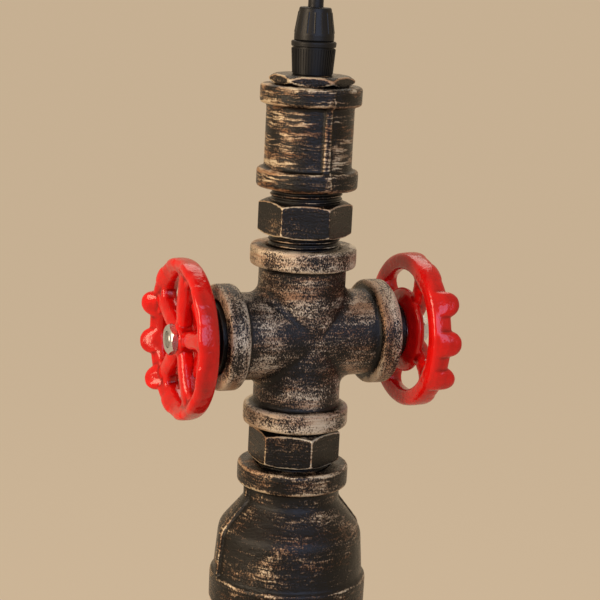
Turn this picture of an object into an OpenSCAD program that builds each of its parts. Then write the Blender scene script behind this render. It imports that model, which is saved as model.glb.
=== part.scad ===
/* [Ceiling rose] */
// Outside diameter of the ceiling rose
rose_d = 90; // [84:1:110]
// Height of the ceiling rose
rose_h = 30; // [28:1:40]
// Wall of the ceiling rose
rose_wall = 1; // [0.8:0.1:1.5]
// Radius of the rose's lower shoulder
rose_round = 16; // [8:1:18]
// Width of the strap that is screwed to the ceiling
strap_w = 18; // [16:1:22]
// Thickness of the ceiling strap
strap_t = 1.6; // [1.2:0.1:2]
// Distance between the two ceiling screws
strap_slot_gap = 54; // [50:1:56]
// Width of a ceiling screw slot
strap_slot_w = 4.4; // [4:0.1:5]
// End to end length of a ceiling screw slot
strap_slot_l = 9; // [7:0.5:11]
// Thread diameter of the side screws that hold the rose
side_screw_d = 4; // [3:0.5:5]
// Length of one pole of the terminal block
pole_w = 8; // [7:0.5:9]
// Width of the terminal block across the wires
block_w = 16; // [14:1:18]
// Height of the terminal block
block_h = 11; // [9:0.5:12]

/* [Cord] */
// Diameter of the round three core cord
cord_d = 5.5; // [4.5:0.1:6]
// Diameter of one insulated core
core_d = 1.9; // [1.6:0.1:2.1]
// Height of the lamp's own cord grip below the ceiling
lamp_drop = 150; // [149:1:152]

/* [Cord grip] */
// Height of the tapered cap
grip_cap_h = 11.8; // [10:0.2:14]
// Diameter of the cap at its small end
grip_cap_small_d = 11.3; // [10.5:0.1:12]
// Diameter of the cap at its large end
grip_cap_big_d = 14.3; // [13.5:0.1:15.2]
// Diameter of the collar under the cap
grip_collar_d = 16.3; // [15.5:0.1:18]
// Height of the collar under the cap
grip_collar_h = 2.1; // [1.5:0.1:3]
// Height of the ribbed foot
grip_foot_h = 9.8; // [8:0.2:12]
// Diameter of the ribbed foot at the collar
grip_foot_big_d = 15.6; // [15:0.1:16]
// Diameter of the ribbed foot at its seat
grip_foot_small_d = 14.2; // [13.4:0.1:14.8]
// Number of upright ribs round the foot
grip_ribs = 48; // [24:2:60]
// Outside diameter of the grip's thread
grip_thread_d = 10; // [9.5:0.1:11]
// Length of the grip's thread
grip_thread_l = 8; // [6:0.5:9]

/* [Pipe thread] */
// Outside diameter of the pipe thread
thread_d = 26.44; // [25.5:0.01:27.5]
// Bore of a fitting behind its thread
core_bore_d = 24.1; // [22:0.1:25]
// Radial gap between a threaded end and its socket
thread_gap = 0.1; // [0.05:0.01:0.15]
// Depth of the thread in a fitting's mouth
thread_depth = 17.5; // [17:0.5:18]

/* [Reducing bush] */
// Width across the flats of the bush
bush_af = 27; // [24:0.5:29]
// Height of the bush's hexagon
bush_hex_h = 3.6; // [3:0.2:6]
// Length of the bush's thread
bush_thread_l = 12; // [10:0.5:13]

/* [Straight socket] */
// Length of the straight socket
socket_l = 36.9; // [35:0.1:42]
// Diameter of the socket's end bands
socket_band_d = 36.8; // [35:0.1:39]
// Height of each end band
socket_band_h = 7; // [5:0.1:9]
// Diameter of the socket between its bands
socket_body_d = 31.8; // [30:0.1:33]
// Width of the casting rib on each side
socket_rib_w = 2.4; // [1.5:0.1:4]
// Height of the casting rib over the body
socket_rib_h = 1.4; // [0.6:0.1:1.8]

/* [Hexagon nipple] */
// Width across the flats of the nipple
nipple_af = 29.7; // [28.5:0.1:32]
// Height of the nipple's hexagon
nipple_hex_h = 12.2; // [10:0.2:14]
// Whole length of the nipple
nipple_l = 47; // [45:0.5:48]
// Bore of the nipple
nipple_bore_d = 19; // [17:0.5:20]
// Thread left in view between the socket and the upper hexagon
gap_socket_hex = 4.9; // [3:0.1:6]
// Thread left in view between the upper hexagon and the cross
gap_hex_cross = 3.8; // [2:0.1:6]
// Thread left in view between the cross and the lower hexagon
gap_cross_hex = 1.9; // [1:0.1:4]
// Thread left in view between the lower hexagon and the reducer
gap_hex_reducer = 0.9; // [0.8:0.1:3]

/* [Cross] */
// Distance from the centre of the cross to each end
cross_reach = 33.4; // [32:0.1:38]
// Diameter of the cross's end bands
cross_band_d = 38.8; // [37:0.1:41]
// Width of each end band along its arm
cross_band_h = 7.6; // [5:0.1:9]
// Diameter of the cross between its bands
cross_body_d = 32; // [31:0.1:34]
// Radius of the blend between two arms
cross_blend_r = 4.2; // [2:0.2:6]

/* [Plug and stem] */
// Diameter of the round boss on each plug
plug_boss_d = 22.5; // [20:0.5:24]
// Height of the boss over the arm's end
plug_boss_h = 5.6; // [4:0.1:8]
// Length of the plug's thread
plug_thread_l = 13; // [11:0.5:15]
// Diameter of the wheel's stem
stem_d = 9; // [8.8:0.1:11]
// Radial running gap between the stem and its plug
stem_gap = 0.06; // [0.02:0.01:0.1]
// Size of the square that drives the wheel
stem_square = 6.2; // [5.6:0.1:6.2]
// Thread diameter of the stem's outer end
stem_thread_d = 6; // [5:0.1:6]
// Thickness of the washer between the plug and the wheel
washer_t = 1.2; // [0.8:0.1:2]

/* [Handwheel] */
// Diameter over the valleys of the rim
wheel_d = 57; // [52:0.5:60]
// Height that each lobe stands out past the valleys
lobe_out = 2; // [0.5:0.1:3]
// Height that each lobe stands forward of the rim
lobe_forward = 3.4; // [2:0.1:5]
// Number of lobes round the rim
lobes = 12; // [8:1:14]
// Lobes on each side of the middle one that stand out as finger knobs
high_lobes = 1; // [0:1:4]
// Height of the other lobes as a share of a finger knob
low_lobe = 0.15; // [0.1:0.05:1]
// Turn of the middle finger knob against the first spoke
lobe_turn = 328; // [0:1:359]
// Radial width of the rim
rim_w = 5.4; // [4:0.1:7]
// Depth of the rim along the stem
rim_h = 6.4; // [4.5:0.1:8]
// Gap from the back of the hub to the back of the rim
rim_lift = 1; // [0.4:0.1:2]
// Number of spokes of the left wheel
left_spokes = 5; // [3:1:6]
// Number of spokes of the right wheel
right_spokes = 4; // [3:1:6]
// Width of a spoke
spoke_w = 5; // [4:0.1:7]
// Radius of the sweep where a spoke runs into the rim
spoke_sweep = 5; // [2:0.5:6]
// Radius of the dished centre
dish_r = 15.2; // [13:0.1:17]
// Depth of the dished centre
dish_depth = 1.6; // [1.4:0.1:3]
// Wall of the dished centre
dish_wall = 1.9; // [1.4:0.1:2.6]
// Length of the hub along the stem
hub_l = 8; // [7:0.1:10]
// Diameter of the hub
hub_d = 12; // [11.5:0.1:14]
// Turn of the left wheel at rest
left_turn = 224; // [0:1:359]
// Turn of the right wheel at rest
right_turn = 301; // [0:1:359]
// Width across the flats of the wheel nut
nut_af = 10; // [9:0.5:11]
// Height of the wheel nut
nut_h = 2.6; // [2.5:0.1:6]

/* [Reducing socket] */
// Length of the reducing socket
reducer_l = 54; // [52:0.5:60]
// Diameter of its upper band
reducer_top_d = 41.2; // [38:0.1:43]
// Height of its upper band
reducer_top_h = 8; // [6:0.1:10]
// Diameter of its neck
reducer_neck_d = 35.6; // [34:0.1:37]
// Diameter of its wide body
reducer_body_d = 56.2; // [55.5:0.1:58]
// Diameter of its lower band
reducer_band_d = 58.7; // [58.5:0.1:61]
// Height of its lower band
reducer_band_h = 11.7; // [9:0.1:13]
// Diameter of its wide bore
reducer_bore_d = 45.2; // [44.6:0.1:46]
// Width of the casting rib on each side
reducer_rib_w = 3.2; // [2:0.1:5]
// Height of the casting rib over the body
reducer_rib_h = 1.1; // [0.6:0.1:1.2]

/* [Lampholder] */
// Outside diameter of the porcelain body
holder_d = 41; // [39:0.5:43]
// Height of the porcelain body
holder_h = 33; // [32:0.5:36]
// Distance that the porcelain stands out of the reducer
holder_out = 6; // [4:0.5:9]
// Inside diameter of the screw shell
shell_bore_d = 26.6; // [26.4:0.1:27]
// Thickness of the screw shell's brass
shell_t = 0.4; // [0.3:0.1:0.6]
// Length of the screw shell
shell_l = 19; // [17:0.5:21]
// Outside diameter of the hollow rod that carries the lampholder
rod_d = 10; // [9.5:0.1:11]
// Bore of the hollow rod
rod_bore_d = 7.6; // [7:0.1:8]

/* [Hidden] */
$fn = 64;

// Colours of the photographed surfaces
iron = "#3a2f28";
worn_copper = "#6b4a33";
black_plastic = "#17181a";
black_paint = "#141416";
wheel_red = "#b5161b";
zinc = "#c3c6c8";
brass = "#b8923f";
porcelain = "#ece9e1";
steel = "#8b8e90";

// Small clearance between pieces that are fitted together by hand
seat_gap = 0.1;
// Softened edges of the castings
edge_r = 1.2;
inner_r = 0.9;
arc_steps = 5;

// Heights down from the ceiling, which is at zero
grip_h = grip_cap_h + grip_collar_h + grip_foot_h;
bush_z = -lamp_drop - grip_h;
socket_z = bush_z - bush_hex_h;
upper_hex_z = socket_z - socket_l - gap_socket_hex;
cross_top_z = upper_hex_z - nipple_hex_h - gap_hex_cross;
cross_z = cross_top_z - cross_reach;
lower_hex_z = cross_z - cross_reach - gap_cross_hex;
reducer_z = lower_hex_z - nipple_hex_h - gap_hex_reducer;
mouth_z = reducer_z - reducer_l;
nipple_end = (nipple_l - nipple_hex_h) / 2;

// Distances out from the centre of the cross along an arm
plug_inner_x = cross_reach - plug_thread_l;
boss_x = cross_reach + plug_boss_h;
hub_x = boss_x + washer_t + 2 * stem_gap;
nut_x = hub_x + hub_l;
rim_back_x = hub_x + 0.4;
rim_r = wheel_d / 2;
rim_in_r = rim_r - rim_w;
clip_t = 1;
stem_inner_x = plug_inner_x - 2 * clip_t - stem_gap;
stem_outer_x = nut_x + nut_h + 0.3;

// Points of the cord's middle line, from the lamp up to the terminal block
cord_route = [
    [0, 0, -177], [0, 0, -166], [0, 0, -155], [0, 0, -144], [0.1, 0, -133], [0.2, 0, -122],
    [0.3, 0, -111], [0.3, 0, -100], [0.3, 0, -89], [0.2, 0, -78], [0.1, 0, -67], [0, 0, -56],
    [0, 0, -45], [0, 0, -34], [0, 0, -23]
];
cord_low_z = cord_route[0][2];
cord_high_z = cord_route[len(cord_route) - 1][2];

// One rounded corner: b is the corner, a and c are its neighbours
function unit(v) = v / norm(v);
function corner(a, b, c, r) =
    let (u = unit(a - b), v = unit(c - b))
    let (half = acos(max(-1, min(1, u * v))) / 2)
    let (mid = b + unit(u + v) * r / sin(half))
    let (p = b + u * r / tan(half), q = b + v * r / tan(half))
    let (s = atan2(p[1] - mid[1], p[0] - mid[0]), e = atan2(q[1] - mid[1], q[0] - mid[0]))
    let (turn = (e - s + 540) % 360 - 180)
    [for (k = [0:arc_steps]) mid + r * [cos(s + turn * k / arc_steps), sin(s + turn * k / arc_steps)]];

// An outline whose corners are given as x, y and radius
function rounded(p) = [
    for (k = [0:len(p) - 1])
        let (b = [p[k][0], p[k][1]], n = len(p))
        let (a = [p[(k + n - 1) % n][0], p[(k + n - 1) % n][1]])
        let (c = [p[(k + 1) % n][0], p[(k + 1) % n][1]])
        each p[k][2] > 0 ? corner(a, b, c, p[k][2]) : [b]
];

// Faces of a skin over rings that all have the same number of points
function skin_faces(rings, sides) = concat(
    [[for (k = [sides - 1:-1:0]) k]],
    [
        for (j = [0:rings - 2], k = [0:sides - 1])
            each [
                [j * sides + k, j * sides + (k + 1) % sides, (j + 1) * sides + (k + 1) % sides],
                [j * sides + k, (j + 1) * sides + (k + 1) % sides, (j + 1) * sides + k]
            ]
    ],
    [[for (k = [0:sides - 1]) (rings - 1) * sides + k]]
);

// Direction of a route at one of its points
function heading(route, k) = unit(route[min(k + 1, len(route) - 1)] - route[max(k - 1, 0)]);

// A tube swept along a route
module swept_tube(route, d, sides = 8) {
    points = [
        for (k = [0:len(route) - 1])
            let (t = heading(route, k))
            let (side = abs(t[1]) < 0.9 ? unit(cross([0, 1, 0], t)) : unit(cross([1, 0, 0], t)))
            let (other = cross(t, side))
            for (j = [0:sides - 1])
                route[k] + d / 2 * (cos(360 * j / sides) * side + sin(360 * j / sides) * other)
    ];
    polyhedron(points, skin_faces(len(route), sides), convexity = 4);
}

// A hexagon prism with its corners turned down at both ends
module hexagon(af, h, turn_down = 1, spin = 0) {
    ac = af / cos(30);
    intersection() {
        rotate(spin) cylinder(d = ac, h = h, $fn = 6);
        rotate_extrude()
            polygon([
                [0, 0], [af / 2 - 0.2, 0], [ac / 2 + 0.1, turn_down], [ac / 2 + 0.1, h - turn_down],
                [af / 2 - 0.2, h], [0, h]
            ]);
    }
}

// The socketed end of a fitting: the thread's bore and a short lead-in
module threaded_mouth(depth) {
    translate([0, 0, -depth]) cylinder(d = thread_d + 2 * thread_gap, h = depth + 1);
    translate([0, 0, -1.2]) cylinder(d1 = thread_d + 2 * thread_gap, d2 = thread_d + 2.6, h = 1.2);
    translate([0, 0, -0.01]) cylinder(d = thread_d + 2.6, h = 1);
}

// A threaded male end with a lead at its tip, pointing up
module threaded_end(d, l, lead = 1) {
    cylinder(d = d, h = l - lead);
    translate([0, 0, l - lead]) cylinder(d1 = d, d2 = d - 2 * lead, h = lead);
}

// The cap of a cord grip, standing on zero with its small end up
module grip_cap() {
    color(black_plastic)
    difference() {
        union() {
            rotate_extrude()
                polygon(rounded([
                    [0, 0, 0], [grip_cap_big_d / 2, 0, 0.5], [grip_cap_big_d / 2, 2.2, 0.4],
                    [grip_cap_small_d / 2, grip_cap_h, 0.7], [0, grip_cap_h, 0]
                ]));
            flute_r = (grip_cap_big_d + grip_cap_small_d) / 4;
            lean = atan((grip_cap_big_d - grip_cap_small_d) / 2 / (grip_cap_h - 2.2));
            for (k = [0:15])
                rotate(k * 22.5)
                    translate([grip_cap_big_d / 2 - 0.28, 0, 2.2])
                        rotate([0, -lean, 0])
                            translate([0, 0, 0.6]) cylinder(d = 0.9, h = grip_cap_h - 4.4, $fn = 6);
        }
        translate([0, 0, -1]) cylinder(d = cord_d + 0.5, h = grip_cap_h + 2);
        translate([0, 0, -1]) cylinder(d = grip_jaw_d() + 0.4, h = grip_cap_h - 2.5 + 1);
    }
}

// Outside diameter of the jaw inside a cord grip
function grip_jaw_d() = cord_d + 2.6;

// The slit jaw that closes on the cord
module grip_jaw() {
    color(black_plastic)
    difference() {
        cylinder(d = grip_jaw_d(), h = grip_cap_h - 3);
        translate([0, 0, -1]) cylinder(d = cord_d + 0.3, h = grip_cap_h);
        for (k = [0:3])
            rotate(k * 90 + 45)
                translate([0, -0.4, 1.5]) cube([grip_jaw_d(), 0.8, grip_cap_h]);
    }
}

// The body of a cord grip with its collar, ribbed foot and thread
module grip_body() {
    lean = atan((grip_foot_big_d - grip_foot_small_d) / 2 / grip_foot_h);
    color(black_plastic)
    difference() {
        union() {
            rotate_extrude()
                polygon(rounded([
                    [0, 0, 0], [grip_foot_small_d / 2, 0, 0.3], [grip_foot_big_d / 2 - 0.1, grip_foot_h - 0.4, 0],
                    [grip_foot_big_d / 2 - 0.6, grip_foot_h - 0.4, 0], [grip_foot_big_d / 2 - 0.6, grip_foot_h, 0],
                    [grip_collar_d / 2 - 0.2, grip_foot_h, 0.4],
                    [grip_collar_d / 2, grip_foot_h + grip_collar_h, 0.7], [0, grip_foot_h + grip_collar_h, 0]
                ]));
            for (k = [0:grip_ribs - 1])
                rotate(k * 360 / grip_ribs)
                    translate([grip_foot_small_d / 2 - 0.35, -0.24, 0.6])
                        rotate([0, lean, 0]) cube([0.55, 0.48, grip_foot_h - 1.2]);
            translate([0, 0, -grip_thread_l]) cylinder(d = grip_thread_d, h = grip_thread_l + 0.01);
        }
        translate([0, 0, -grip_thread_l - 1])
            cylinder(d = cord_d + 0.5, h = grip_thread_l + grip_foot_h + grip_collar_h + 2);
    }
}

// The strap that is screwed to the ceiling, with a lug bent down at each end
strap_x = rose_d / 2 - rose_wall - 1.2;
lug_h = 12;
side_screw_z = -7;
module ceiling_strap() {
    color(zinc)
    difference() {
        union() {
            translate([-strap_x, -strap_w / 2, -strap_t]) cube([2 * strap_x, strap_w, strap_t]);
            for (s = [-1, 1])
                translate([s * strap_x - (s > 0 ? strap_t : 0), -strap_w / 4, -lug_h])
                    cube([strap_t, strap_w / 2, lug_h]);
        }
        for (s = [-1, 1]) {
            for (t = [-1, 1])
                translate([s * strap_slot_gap / 2 + t * (strap_slot_l - strap_slot_w) / 2, 0, -strap_t - 1])
                    cylinder(d = strap_slot_w, h = strap_t + 2);
            translate([s * strap_slot_gap / 2 - (strap_slot_l - strap_slot_w) / 2, -strap_slot_w / 2, -strap_t - 1])
                cube([strap_slot_l - strap_slot_w, strap_slot_w, strap_t + 2]);
            translate([s * strap_x - 3, 0, side_screw_z])
                rotate([0, 90, 0]) cylinder(d = side_screw_d + 2 * seat_gap, h = 6);
        }
    }
}

// The two knurled screws through the side of the rose
module side_screws() {
    color(black_paint)
    for (s = [-1, 1])
        rotate(s > 0 ? 0 : 180)
            translate([strap_x - strap_t - 2, 0, side_screw_z])
                rotate([0, 90, 0])
                    union() {
                        shank = rose_d / 2 - strap_x + strap_t + 2;
                        cylinder(d = side_screw_d, h = shank + 0.01);
                        difference() {
                            translate([0, 0, shank]) cylinder(d = side_screw_d + 4, h = 4);
                            for (k = [0:15])
                                rotate(k * 22.5)
                                    translate([side_screw_d / 2 + 2, 0, shank + 0.8])
                                        cylinder(d = 0.7, h = 4, $fn = 6);
                        }
                    }
}

// The spun steel rose that covers the connection
module ceiling_rose() {
    r = rose_d / 2;
    w = rose_wall;
    color(black_paint)
    difference() {
        rotate_extrude($fn = 96)
            polygon(rounded([
                [0, -rose_h, 0], [r, -rose_h, rose_round], [r, 0, 0], [r - w, 0, 0],
                [r - w, -rose_h + w, rose_round - w], [0, -rose_h + w, 0]
            ]));
        translate([0, 0, -rose_h - 1]) cylinder(d = grip_thread_d + 2 * seat_gap, h = w + 2);
        for (s = [-1, 1])
            translate([s * (r - 4), 0, side_screw_z])
                rotate([0, s * 90, 0]) cylinder(d = side_screw_d + 2 * seat_gap, h = 8);
    }
}

// The three pole terminal block under the strap
module terminal_block() {
    color(porcelain)
    translate([0, 0, -strap_t - block_h])
        difference() {
            union() {
                for (k = [-1:1])
                    translate([k * pole_w - pole_w / 2 + 0.4, -block_w / 2, 0]) cube([pole_w - 0.8, block_w, block_h - 2]);
                translate([-1.5 * pole_w + 0.4, -block_w / 4, 0])
                    cube([3 * pole_w - 0.8, block_w / 2, block_h]);
            }
            for (k = [-1:1]) {
                translate([k * pole_w, -block_w, block_h / 2 - 1])
                    rotate([-90, 0, 0]) cylinder(d = core_d + 0.6, h = 2 * block_w);
                for (s = [-1, 1])
                    translate([k * pole_w, s * block_w / 4, -1]) cylinder(d = 3.4, h = block_h / 2);
            }
        }
}

// The clamping screws of the terminal block
module terminal_screws() {
    color(zinc)
    for (k = [-1:1], s = [-1, 1])
        translate([k * pole_w, s * block_w / 4, -strap_t - block_h + 0.6])
            difference() {
                cylinder(d = 3.2, h = block_h / 2 - 2.1 - core_d / 2);
                translate([-2, -0.3, -0.01]) cube([4, 0.6, 0.7]);
            }
}

// The cores from the cord's upper end into the terminal block
block_entry_z = -strap_t - block_h / 2 - 1;
module rose_cores() {
    color(worn_copper)
    for (k = [-1:1])
        swept_tube([
            [k * (core_d + 0.1) * 0.9, k == 0 ? 1 : -0.6, cord_high_z + 0.4],
            [k * (core_d + 0.1), k == 0 ? 1 : -0.6, cord_high_z + 2.6],
            [k * core_d * 1.4, -2.5, cord_high_z + 4.6],
            [k * core_d * 2.1, -7, cord_high_z + 5.2],
            [k * core_d * 2.9, -11.5, cord_high_z + 7],
            [k * pole_w * 0.92, -14, (cord_high_z + block_entry_z) / 2 + 5.2],
            [k * pole_w * 0.98, -13, block_entry_z - 0.6],
            [k * pole_w, -11, block_entry_z],
            [k * pole_w, -block_w / 2 + 2.5, block_entry_z]
        ], core_d);
}

// The upper cord grip, hanging from the rose
module rose_grip_body() {
    translate([0, 0, -rose_h - grip_foot_h * 0])
        mirror([0, 0, 1]) grip_body();
}
module rose_grip_nut() {
    color(black_plastic)
    translate([0, 0, -rose_h + rose_wall])
        difference() {
            hexagon(14, 3.4, 0.6);
            translate([0, 0, -1]) cylinder(d = grip_thread_d + 2 * seat_gap, h = 6);
        }
}
module rose_grip_jaw() {
    translate([0, 0, -rose_h - grip_foot_h - grip_collar_h]) mirror([0, 0, 1]) grip_jaw();
}
module rose_grip_cap() {
    translate([0, 0, -rose_h - grip_foot_h - grip_collar_h]) mirror([0, 0, 1]) grip_cap();
}

// The cord, from inside the lamp's grip to inside the rose
module pendant_cord() {
    color(black_plastic) swept_tube(cord_route, cord_d, 12);
}

// The lower cord grip, standing on the reducing bush
module lamp_grip_body() {
    translate([0, 0, bush_z]) grip_body();
}
module lamp_grip_jaw() {
    translate([0, 0, -lamp_drop - grip_cap_h]) grip_jaw();
}
module lamp_grip_cap() {
    translate([0, 0, -lamp_drop - grip_cap_h]) grip_cap();
}

// The hexagon bush that closes the straight socket
module reducing_bush() {
    color(iron)
    difference() {
        union() {
            translate([0, 0, socket_z]) hexagon(bush_af, bush_hex_h, 1.5, 36);
            translate([0, 0, socket_z]) mirror([0, 0, 1]) threaded_end(thread_d, bush_thread_l);
        }
        translate([0, 0, socket_z - bush_thread_l - 1])
            cylinder(d = grip_thread_d + 2 * seat_gap, h = bush_thread_l + bush_hex_h + 2);
        translate([0, 0, socket_z - bush_thread_l - 1]) cylinder(d = 18, h = bush_thread_l - 4);
    }
}

// The straight socket with its two bands and casting ribs
module straight_socket() {
    band = socket_band_d / 2;
    body = socket_body_d / 2;
    rib = body + socket_rib_h;
    color(worn_copper)
    translate([0, 0, socket_z - socket_l])
        difference() {
            union() {
                rotate_extrude()
                    polygon(rounded([
                        [0, 0, 0], [band, 0, edge_r], [band, socket_band_h, edge_r], [body, socket_band_h, inner_r],
                        [body, socket_l - socket_band_h, inner_r], [band, socket_l - socket_band_h, edge_r],
                        [band, socket_l, edge_r], [0, socket_l, 0]
                    ]));
                for (s = [-90, 90])
                    rotate(s) {
                        translate([0, 0, socket_band_h / 2])
                            linear_extrude(socket_l - socket_band_h)
                                polygon([
                                    [body - 1.5, -socket_rib_w / 2 - 0.6], [rib, -socket_rib_w / 2],
                                    [rib, socket_rib_w / 2], [body - 1.5, socket_rib_w / 2 + 0.6]
                                ]);
                        for (z = [edge_r, socket_l - socket_band_h + edge_r])
                            translate([0, 0, z])
                                linear_extrude(socket_band_h - 2 * edge_r)
                                    polygon([
                                        [band - 1.5, -socket_rib_w / 2 - 0.5], [band + 0.35, -socket_rib_w / 3],
                                        [band + 0.35, socket_rib_w / 3], [band - 1.5, socket_rib_w / 2 + 0.5]
                                    ]);
                    }
            }
            translate([0, 0, -1]) cylinder(d = core_bore_d, h = socket_l + 2);
            translate([0, 0, socket_l]) threaded_mouth(bush_thread_l + 1);
            mirror([0, 0, 1]) threaded_mouth(nipple_end - gap_socket_hex + 1);
        }
}

// A hexagon nipple whose hexagon hangs from the given height
module nipple(z, spin) {
    color(iron)
    translate([0, 0, z - nipple_hex_h])
        difference() {
            union() {
                hexagon(nipple_af, nipple_hex_h, 1, spin);
                translate([0, 0, nipple_hex_h - 1]) threaded_end(thread_d, nipple_end + 1);
                mirror([0, 0, 1]) translate([0, 0, -1]) threaded_end(thread_d, nipple_end + 1);
            }
            translate([0, 0, -nipple_l]) cylinder(d = nipple_bore_d, h = 2 * nipple_l + nipple_hex_h);
        }
}
module upper_nipple() {
    nipple(upper_hex_z, 37.5);
}
module lower_nipple() {
    nipple(lower_hex_z, 30);
}

// One slice of the blend between the arms, at an angle across the cross
blend_span = 72;
blend_slices = 18;
blend_arc = 6;
function blend_ring(t) =
    let (r = cross_body_d / 2 - 0.25)
    let (round_r = max(0.02, cross_blend_r * cos(t * 90 / blend_span)))
    let (w = r * cos(t))
    let (c = w + 0.25 * cos(t) + round_r)
    [
        for (q = [0:3], k = [0:blend_arc])
            let (a = 270 - 90 * k / blend_arc)
            let (p = [c + round_r * cos(a) * (k == 0 ? 0 : 1), k == 0 ? w : c + round_r * sin(a)])
            let (p2 = k == blend_arc ? [w, c] : p)
            let (x = p2[0] * cos(90 * q) - p2[1] * sin(90 * q))
            let (z = p2[0] * sin(90 * q) + p2[1] * cos(90 * q))
            [x, cross_body_d / 2 * sin(t), z]
    ];
module cross_blend() {
    slices = [for (k = [0:blend_slices]) blend_ring(-blend_span + 2 * blend_span * k / blend_slices)];
    polyhedron(
        [for (s = slices) each s],
        skin_faces(blend_slices + 1, 4 * (blend_arc + 1)),
        convexity = 4
    );
}

// One arm of the cross, from its centre up
module cross_arm() {
    band = cross_band_d / 2;
    body = cross_body_d / 2;
    rotate_extrude()
        polygon(rounded([
            [0, 0, 0], [body, 0, 0], [body, cross_reach - cross_band_h, inner_r],
            [band, cross_reach - cross_band_h, edge_r], [band, cross_reach, edge_r], [0, cross_reach, 0]
        ]));
}
module cross_fitting() {
    color(worn_copper)
    translate([0, 0, cross_z])
        difference() {
            union() {
                for (a = [0, 90, 180, 270]) rotate([0, a, 0]) cross_arm();
                cross_blend();
            }
            for (a = [0, 90])
                rotate([0, a, 0])
                    translate([0, 0, -cross_reach - 1]) cylinder(d = core_bore_d, h = 2 * cross_reach + 2);
            for (a = [0, 90, 180, 270])
                rotate([0, a, 0]) translate([0, 0, cross_reach]) threaded_mouth(thread_depth);
        }
}

// Turns a piece that is built along +Z so that it points out of an arm
module on_arm(side) {
    translate([0, 0, cross_z]) rotate([0, side * 90, 0]) children();
}

// The plug that closes an arm and carries the stem
module plug(side) {
    color(black_paint)
    on_arm(side)
        difference() {
            union() {
                translate([0, 0, plug_inner_x]) cylinder(d = thread_d, h = plug_thread_l);
                translate([0, 0, cross_reach - 0.2])
                    rotate_extrude()
                        polygon(rounded([
                            [0, 0, 0], [thread_d / 2, 0, 0], [thread_d / 2, 1.2, 0.6], [plug_boss_d / 2, 1.8, 0.5],
                            [plug_boss_d / 2, plug_boss_h + 0.2, 0.9], [0, plug_boss_h + 0.2, 0]
                        ]));
            }
            translate([0, 0, plug_inner_x - 1])
                cylinder(d = stem_d + 2 * stem_gap, h = boss_x - plug_inner_x + 2);
            for (k = [0:5])
                rotate(60 * k)
                    translate([(thread_d + stem_d) / 4, 0, plug_inner_x - 1]) cylinder(d = 3, h = plug_thread_l - 3);
        }
}

// The stem, with its clip groove, drive square and threaded end
function wheel_turn(side) = side > 0 ? right_turn : -left_turn;
module stem(side) {
    color(steel)
    on_arm(side)
        rotate(wheel_turn(side))
        difference() {
            union() {
                translate([0, 0, stem_inner_x]) cylinder(d = stem_d, h = hub_x - stem_inner_x);
                translate([-stem_square / 2, -stem_square / 2, hub_x - 0.5])
                    cube([stem_square, stem_square, hub_l + 0.5 - 0.4]);
                translate([0, 0, nut_x - 1])
                    threaded_end(stem_thread_d, stem_outer_x - nut_x + 1, 0.7);
            }
            translate([0, 0, plug_inner_x - clip_t - stem_gap])
                difference() {
                    cylinder(d = stem_d + 2, h = clip_t);
                    translate([0, 0, -1]) cylinder(d = stem_d - 1.6, h = clip_t + 2);
                }
        }
}

// The open ring clip that keeps the stem in its plug
module clip(side) {
    color(zinc)
    on_arm(side)
        translate([0, 0, plug_inner_x - clip_t - stem_gap + seat_gap / 4])
            difference() {
                cylinder(d = stem_d + 5, h = clip_t - seat_gap / 2);
                translate([0, 0, -1]) cylinder(d = stem_d - 1.6 + seat_gap, h = clip_t + 2);
                translate([0, -stem_d / 4, -1]) cube([stem_d, stem_d / 2, clip_t + 2]);
            }
}

// The washer between the plug's boss and the wheel
module washer(side) {
    color(zinc)
    on_arm(side)
        translate([0, 0, boss_x + stem_gap])
            difference() {
                cylinder(d = hub_d + 4, h = washer_t);
                translate([0, 0, -1]) cylinder(d = stem_d + 2 * seat_gap, h = washer_t + 2);
            }
}

// Back of the hub against the back face of the wheel
hub_back = -0.4;

// Height of a lobe at a share of the pitch from its crest, from 0 in a valley to 1 on a finger knob
lobe_half = 0.3;
function lobe_share(j) = min(j, lobes - j) <= high_lobes ? 1 : low_lobe;
function lobe_at(x) = abs(x) >= lobe_half ? 0 : pow(1 - pow(abs(x) / lobe_half, 2.2), 0.6);

// Shares of the pitch at which the rim has a section, closer together on the flanks of a lobe
lobe_stops = [-0.4, -0.3, -0.28, -0.23, -0.155, -0.075, 0, 0.075, 0.155, 0.23, 0.28, 0.3, 0.4, 0.5];

// One point of the rim's section: a softened block whose outer front edge follows the lobes
rim_sides = 16;
rim_slope = 1.4;
function bent(v, power) = sign(v) * pow(abs(v), power);
function rim_point(l, b) =
    let (pull = pow(max(0, cos(b - 48)), 0.4) * l, power = sin(b) < 0 ? 0.5 : 0.7)
    let (across = bent(cos(b), power), up = (1 + bent(sin(b), power)) / 2)
    [
        rim_r - rim_w / 2 + rim_w / 2 * across + pull * lobe_out,
        rim_lift + hub_back + rim_h * up + rim_slope * across * up + pull * lobe_forward
    ];
function rim_ring(a, l) = [
    for (k = [0:rim_sides - 1])
        let (p = rim_point(l, 360 * (k + 0.5) / rim_sides))
        [p[0] * cos(a), p[0] * sin(a), p[1]]
];
module wheel_rim() {
    rings = [
        for (j = [0:lobes - 1], x = lobe_stops)
            rim_ring(360 * (j + x) / lobes + lobe_turn, lobe_at(x) * lobe_share(j))
    ];
    n_rings = len(rings);
    faces = [
        for (j = [0:n_rings - 1], k = [0:rim_sides - 1])
            let (a = j * rim_sides, b = ((j + 1) % n_rings) * rim_sides, n = (k + 1) % rim_sides)
            each [[a + k, a + n, b + n], [a + k, b + n, b + k]]
    ];
    polyhedron([for (r = rings) each r], faces, convexity = 6);
}

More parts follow.
